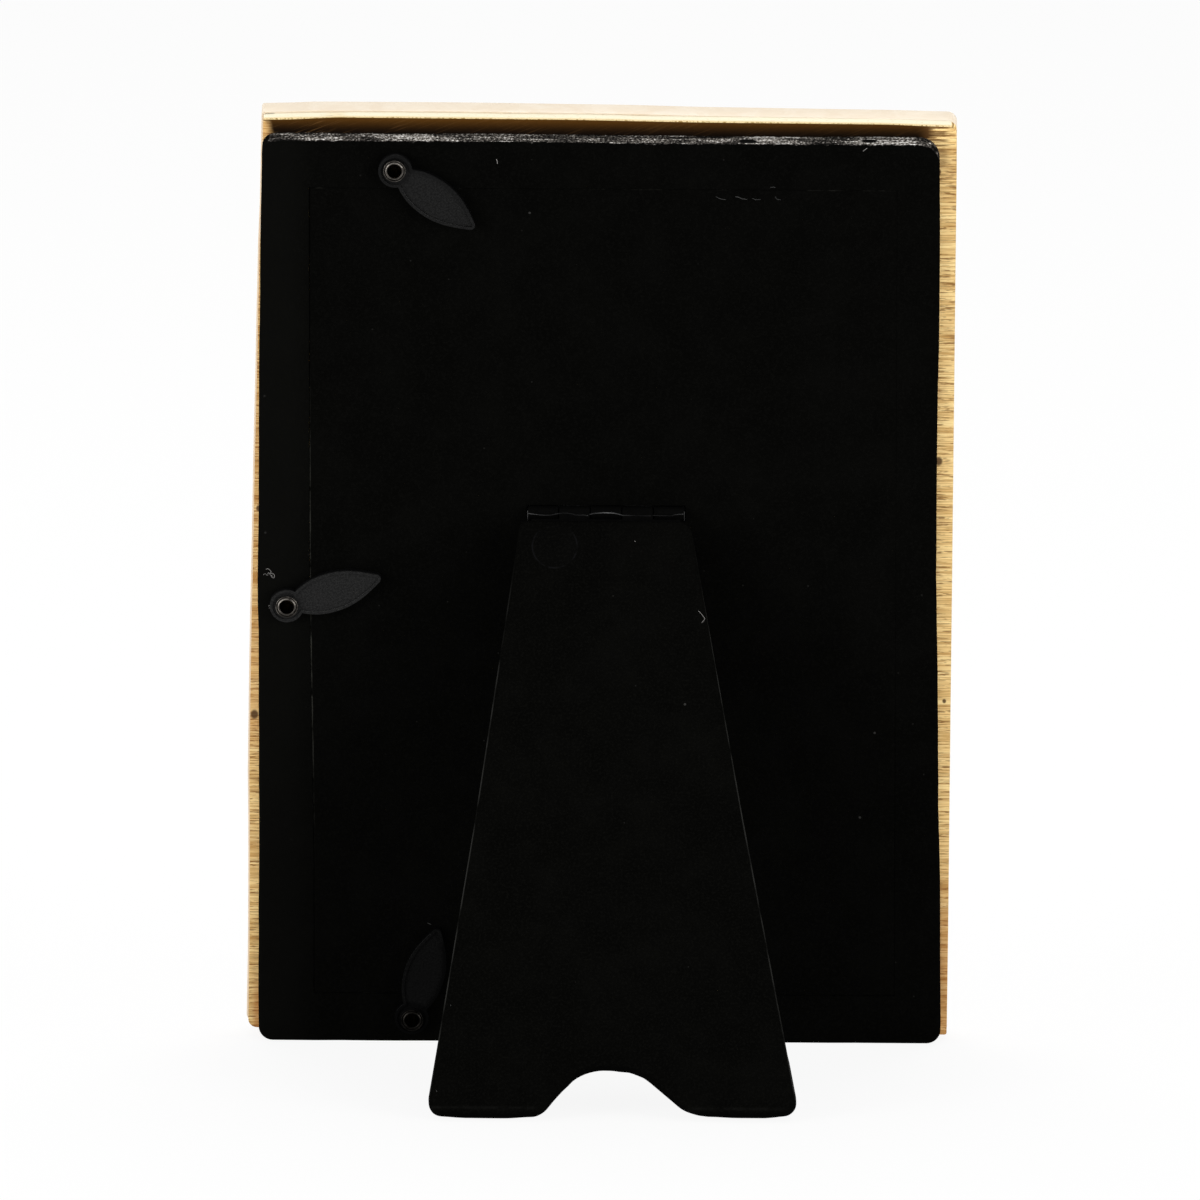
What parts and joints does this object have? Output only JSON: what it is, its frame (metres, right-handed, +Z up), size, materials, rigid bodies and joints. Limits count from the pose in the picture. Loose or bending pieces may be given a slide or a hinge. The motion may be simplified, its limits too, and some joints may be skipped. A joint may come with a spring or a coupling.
{
  "type": "resin photo frame",
  "caption": "Free-standing upright photo frame with a resin-faced wooden body, a velvet back door held by turn buttons, and a hinged easel leg.",
  "frame": {"origin": "on the ground, under the middle of the whole frame with its leg open", "axes": "+Z up, the frame leans back by 8.3 degrees, its picture faces +Y and its leg stands out to -Y"},
  "size_m": [0.1306, 0.0842, 0.179],
  "materials": {
    "cream_resin": "cast resin, glossy",
    "pine": "bare sanded softwood",
    "glazing": "clear",
    "print_paper": "satin photographic paper",
    "grey_card": "plain",
    "fibreboard": "raw fibreboard",
    "black_velvet": "short-pile velvet",
    "black_paper": "matt lining paper",
    "black_moulding": "pebbled, semi-matt",
    "plated_steel": "dull nickel plate",
    "blackened_steel": "thin black lacquer"
  },
  "bodies": {
    "frame_body": {"resin_face": "cream_resin", "wood_body": "pine", "glass_pane": "glazing", "photo_print": "print_paper", "backing_card": "grey_card", "surround_board": "fibreboard", "surround_velvet": "black_velvet", "eyelet_top": "plated_steel", "eyelet_side": "plated_steel", "eyelet_bottom": "plated_steel"},
    "door": {"door_board": "fibreboard", "door_velvet": "black_velvet", "door_lining": "black_paper", "hinge_door_leaf": "blackened_steel", "hinge_pin": "blackened_steel", "door_rivet_left": "plated_steel", "door_rivet_right": "plated_steel"},
    "leg": {"leg_board": "fibreboard", "leg_velvet": "black_velvet", "hinge_leg_leaf": "blackened_steel", "leg_rivet_left": "plated_steel", "leg_rivet_right": "plated_steel"},
    "button_top": {"turn_button_top": "black_moulding"},
    "button_side": {"turn_button_side": "black_moulding"},
    "button_bottom": {"turn_button_bottom": "black_moulding"}
  },
  "joints": [
    {"name": "door_hinge", "type": "hinge", "parent": "frame_body", "child": "door", "pos_m": [0.05449, 0.01569, 0.08713], "axis": [0, -0.1446, 0.9895], "range_deg": [0, 165]},
    {"name": "leg_hinge", "type": "hinge", "parent": "door", "child": "leg", "pos_m": [0.00119, 0.01339, 0.10286], "axis": [1, 0, 0], "range_deg": [0, 33.5]},
    {"name": "button_top_turn", "type": "hinge", "parent": "frame_body", "child": "button_top", "pos_m": [-0.03781, 0.00338, 0.16962], "axis": [0, -0.9895, -0.1446], "continuous": true},
    {"name": "button_side_turn", "type": "hinge", "parent": "frame_body", "child": "button_side", "pos_m": [-0.05761, 0.01573, 0.08511], "axis": [0, -0.9895, -0.1446], "continuous": true},
    {"name": "button_bottom_turn", "type": "hinge", "parent": "frame_body", "child": "button_bottom", "pos_m": [-0.03451, 0.02746, 0.00487], "axis": [0, -0.9895, -0.1446], "continuous": true}
  ]
}
